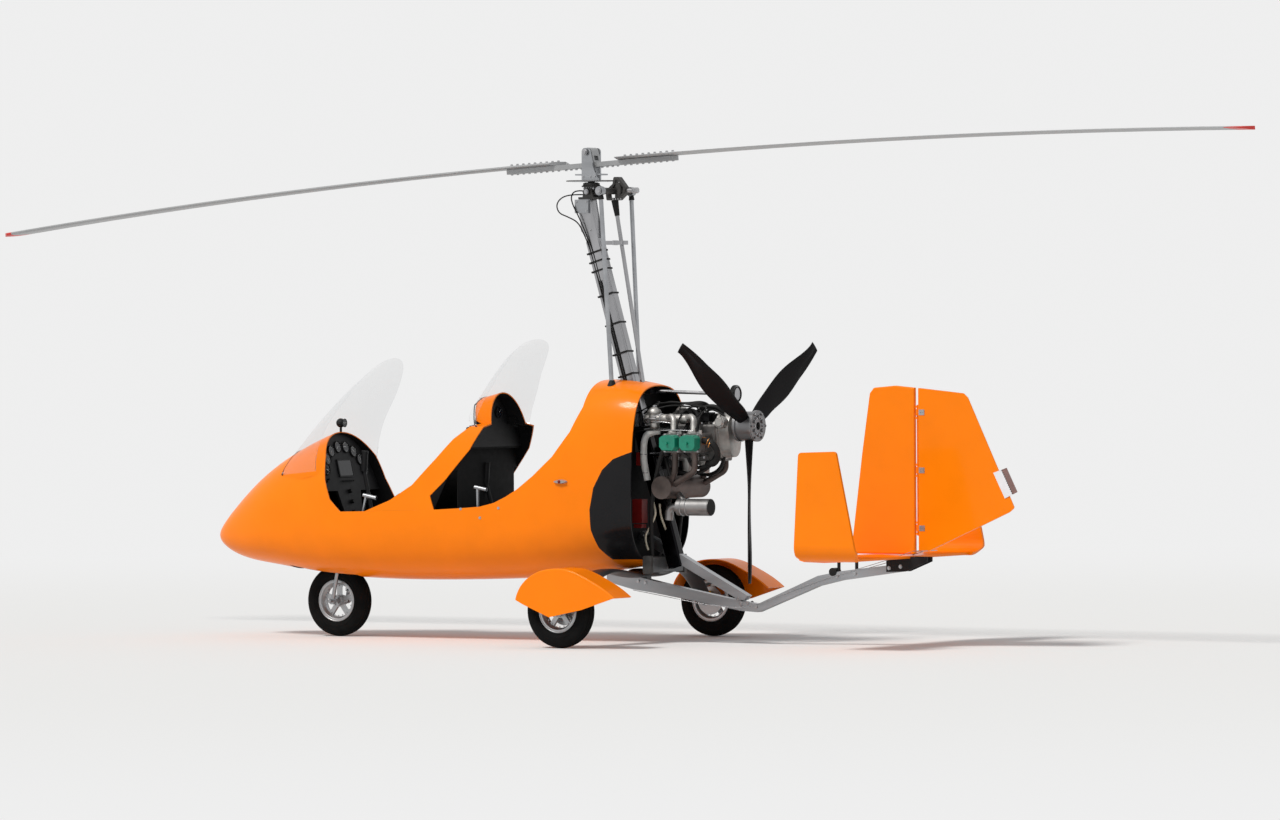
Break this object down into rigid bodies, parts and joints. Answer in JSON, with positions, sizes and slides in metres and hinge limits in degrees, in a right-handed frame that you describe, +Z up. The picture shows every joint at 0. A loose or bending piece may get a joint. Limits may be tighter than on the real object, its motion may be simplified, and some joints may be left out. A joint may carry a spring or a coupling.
{
  "type": "two-seat gyrocopter",
  "caption": "Open tandem gyrocopter with a teetering rotor on a raked mast, pusher propeller, exposed flat engine, twin-fin tail and tricycle gear.",
  "frame": {"origin": "on the ground, under the centre of the rotor head", "axes": "+X aft along the fuselage, +Y to starboard, +Z up; the nose points to -X"},
  "size_m": [8.3594, 1.872, 2.7496],
  "materials": {
    "acrylic": "clear",
    "alloy": "satin",
    "black_carbon": "satin",
    "black_gelcoat": "gloss",
    "black_plastic": "satin",
    "blade_alloy": "anodised",
    "cast_alloy": "as cast",
    "dark_composite": "satin",
    "exhaust_steel": "heat stained",
    "floor_laminate": "matt",
    "green_cover": "satin paint",
    "grey_hub": "turned",
    "orange_gelcoat": "gloss",
    "seat_fabric": "matt",
    "stainless": "brushed",
    "tyre_rubber": "matt",
    "white_lens": "clear"
  },
  "bodies": {
    "airframe": {"cabin_floor": "floor_laminate", "carburettors": "cast_alloy", "centre_fin": "orange_gelcoat", "compass": "black_plastic", "control_rods": "alloy", "control_sticks": "black_plastic", "crankcase": "cast_alloy", "cylinders": "cast_alloy", "end_fins": "orange_gelcoat", "engine_mount": "stainless", "firewall": "black_plastic", "front_seat": "black_plastic", "front_windshield": "acrylic", "fuselage_shell": "orange_gelcoat", "gear_legs": "dark_composite", "gearbox": "cast_alloy", "instrument_panel": "black_plastic", "intake_pipes": "cast_alloy", "keel_brace": "alloy", "keel_tube": "alloy", "mast": "stainless", "mast_plates": "alloy", "mid_fairing": "orange_gelcoat", "mudguards": "orange_gelcoat", "muffler": "exhaust_steel", "nav_light": "white_lens", "nose_wheel_well": "black_plastic", "prerotator_shaft": "stainless", "radiator": "alloy", "rear_panel": "black_plastic", "rear_seat": "black_plastic", "rear_windshield": "acrylic", "rotor_gimbal": "alloy", "rudder_pedals": "alloy", "seat_boxes": "floor_laminate", "seat_cushions": "seat_fabric", "side_panels": "black_gelcoat", "silencer": "stainless", "sill_levers": "alloy", "stub_axles": "stainless", "tail_boom": "alloy", "tail_bracket": "black_plastic", "tailplane": "orange_gelcoat", "valve_covers": "green_cover"},
    "rotor_head_tower": {"rotor_tower": "alloy"},
    "rotor": {"hub_bar": "blade_alloy", "rotor_blades": "blade_alloy"},
    "propeller": {"propeller_hub": "grey_hub", "propeller_blades": "black_carbon"},
    "nose_gear_fork": {"nose_fork": "stainless"},
    "nose_wheel": {"nose_wheel_rim": "alloy", "nose_wheel_tyre": "tyre_rubber"},
    "left_wheel": {"left_wheel_rim": "alloy", "left_wheel_tyre": "tyre_rubber"},
    "right_wheel": {"right_wheel_rim": "alloy", "right_wheel_tyre": "tyre_rubber"},
    "rudder": {"rudder": "orange_gelcoat", "trim_tab": "black_plastic"}
  },
  "joints": [
    {"name": "rotor_spin", "type": "hinge", "parent": "airframe", "child": "rotor_head_tower", "pos_m": [0, 0, 2.5], "axis": [0, 0, 1], "continuous": true},
    {"name": "rotor_teeter", "type": "hinge", "parent": "rotor_head_tower", "child": "rotor", "pos_m": [0, 0, 2.682], "axis": [0.088, 0.9961, 0], "range_deg": [-5.85, 12.15]},
    {"name": "propeller_spin", "type": "hinge", "parent": "airframe", "child": "propeller", "pos_m": [0.985, 0, 1.184], "axis": [1, 0, 0], "continuous": true},
    {"name": "nose_steering", "type": "hinge", "parent": "airframe", "child": "nose_gear_fork", "pos_m": [-1.653, 0, 0.2], "axis": [0.2, 0, 0.9798], "range_deg": [-25.5, 25.5]},
    {"name": "nose_wheel_spin", "type": "hinge", "parent": "nose_gear_fork", "child": "nose_wheel", "pos_m": [-1.653, 0, 0.2], "axis": [0, 1, 0], "continuous": true},
    {"name": "left_wheel_spin", "type": "hinge", "parent": "airframe", "child": "left_wheel", "pos_m": [0.287, -0.827, 0.2], "axis": [0, 1, 0], "continuous": true},
    {"name": "right_wheel_spin", "type": "hinge", "parent": "airframe", "child": "right_wheel", "pos_m": [0.287, 0.827, 0.2], "axis": [0, 1, 0], "continuous": true},
    {"name": "rudder_hinge", "type": "hinge", "parent": "airframe", "child": "rudder", "pos_m": [2.02, 0, 0.95], "axis": [0, 0, 1], "range_deg": [-28, 28]}
  ],
  "couplings": [
    {"joint": "nose_steering", "follows": "rudder_hinge", "ratio": -0.9}
  ]
}
